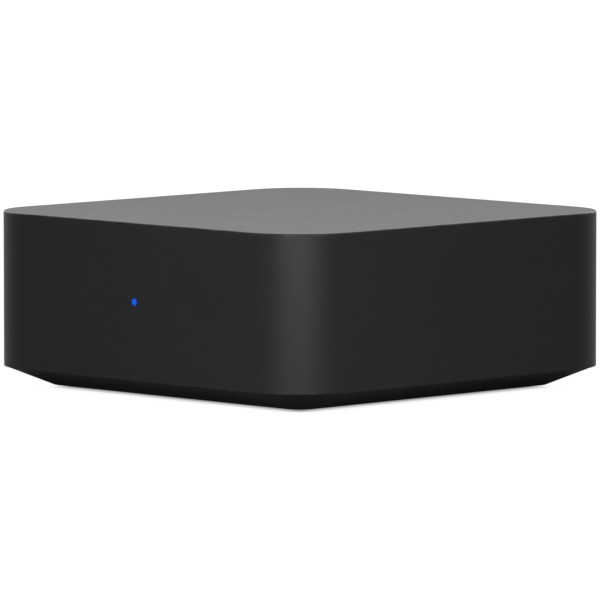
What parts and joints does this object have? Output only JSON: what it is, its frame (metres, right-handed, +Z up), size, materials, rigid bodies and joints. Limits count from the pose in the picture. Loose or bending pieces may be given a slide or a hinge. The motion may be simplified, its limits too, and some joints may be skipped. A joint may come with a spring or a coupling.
{
  "type": "network music streamer",
  "caption": "Square desktop network music streamer with a tapered base, a front status light and a rear recess of phono, optical, network and mains sockets.",
  "frame": {"origin": "on the surface that the feet stand on, under the middle of the square casing", "axes": "+Z up; the front with the status light faces -Y and the sockets face +Y"},
  "size_m": [0.14, 0.14, 0.0542],
  "materials": {
    "casing_plastic": "fine spark-eroded texture",
    "base_plastic": "fine spark-eroded texture",
    "panel_plastic": "fine texture",
    "rubber": "matt",
    "screw_steel": "black zinc",
    "circuit_board": "solder mask",
    "moulded_black": "satin moulding",
    "chip_black": "matt epoxy",
    "tin_plate": "tin plated",
    "nickel": "bright nickel",
    "gold_plate": "gold flash",
    "white_plastic": "moulded",
    "red_plastic": "moulded",
    "orange_plastic": "moulded",
    "can_sleeve": "plain can",
    "ferrite": "sintered",
    "winding_tape": "tape",
    "heat_metal": "extruded",
    "pad_grey": "soft",
    "clear_acrylic": "clear",
    "led_white": "moulded",
    "lead_grey": "smooth",
    "pin_nylon": "moulded"
  },
  "bodies": {
    "streamer": {"audio_capacitors": "can_sleeve", "audio_converter": "chip_black", "base_tray": "base_plastic", "board_link": "white_plastic", "board_screws": "screw_steel", "bulk_capacitor": "can_sleeve", "button_switch": "moulded_black", "case_screws": "screw_steel", "clock_crystals": "tin_plate", "coax_block": "moulded_black", "coax_contact": "gold_plate", "coax_insulator": "orange_plastic", "coax_sleeve": "nickel", "ethernet_contacts": "gold_plate", "ethernet_insert": "moulded_black", "ethernet_shell": "tin_plate", "ethernet_transformer": "chip_black", "fuse": "chip_black", "heat_sink": "heat_metal", "inductors": "ferrite", "inlet_housing": "moulded_black", "inlet_pins": "nickel", "left_aerial": "circuit_board", "left_aerial_lead": "lead_grey", "left_insulator": "white_plastic", "light_pipe": "clear_acrylic", "line_filter": "ferrite", "line_out_block": "moulded_black", "line_out_contacts": "gold_plate", "line_out_sleeves": "nickel", "main_board": "circuit_board", "memory_chips": "chip_black", "optical_emitter": "clear_acrylic", "optical_housing": "moulded_black", "output_capacitors": "can_sleeve", "panel_screw": "screw_steel", "power_board": "circuit_board", "power_switch": "chip_black", "processor": "chip_black", "radio_module": "circuit_board", "radio_shield": "tin_plate", "rear_panel": "panel_plastic", "rectifier": "chip_black", "right_aerial": "circuit_board", "right_aerial_lead": "lead_grey", "right_insulator": "red_plastic", "rubber_feet": "rubber", "shutter_pin": "nickel", "sink_pins": "pin_nylon", "status_led": "led_white", "thermal_pad": "pad_grey", "top_shell": "casing_plastic", "transformer_core": "ferrite", "transformer_winding": "winding_tape"},
    "setup_button": {"button_cap": "moulded_black", "button_plunger": "moulded_black"},
    "shutter": {"optical_shutter": "moulded_black"}
  },
  "joints": [
    {"name": "setup_button_press", "type": "slide", "parent": "streamer", "child": "setup_button", "axis": [0, -1, 0], "range_m": [0, 0.0004], "stiffness_N_per_m": 2500, "springref_m": -0.0002},
    {"name": "shutter_hinge", "type": "hinge", "parent": "streamer", "child": "shutter", "pos_m": [0.0155, 0.0594, 0.0207], "axis": [-1, 0, 0], "range_deg": [0, 85], "stiffness_Nm_per_rad": 0.0001, "springref_deg": -28.65}
  ]
}
